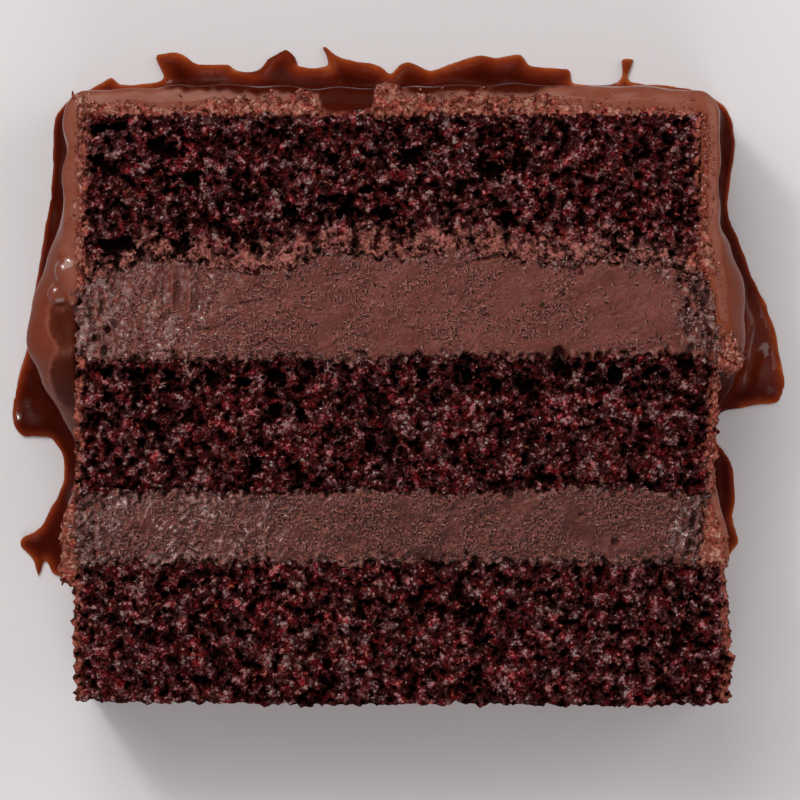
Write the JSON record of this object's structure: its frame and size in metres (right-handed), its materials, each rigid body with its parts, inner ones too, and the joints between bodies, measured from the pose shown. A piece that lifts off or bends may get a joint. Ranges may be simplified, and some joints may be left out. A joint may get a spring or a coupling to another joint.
{
  "type": "slice of chocolate layer cake",
  "caption": "Thick slice of chocolate layer cake lying on its cut side: sponge layers with ganache between them, a glaze round the cake's top and sides, and glaze pooled at the foot.",
  "frame": {"origin": "middle of the bounding box on the floor that the slice lies on", "axes": "+Z out of the shown cut face, +Y towards the cake's top, +X along the layers"},
  "size_m": [0.1282, 0.1075, 0.032],
  "materials": {
    "sponge": "dark red-brown porous chocolate sponge, matt, with lighter moist crumbs",
    "ganache": "cut ganache, grey-brown, satin, with smears and fine tears",
    "glaze": "poured chocolate glaze, glossy, darker and red-brown where it has pooled"
  },
  "bodies": {
    "root": {"sponge_bottom": "sponge", "filling_lower": "ganache", "sponge_middle": "sponge", "filling_upper": "ganache", "sponge_top": "sponge", "glaze": "glaze"}
  },
  "joints": []
}
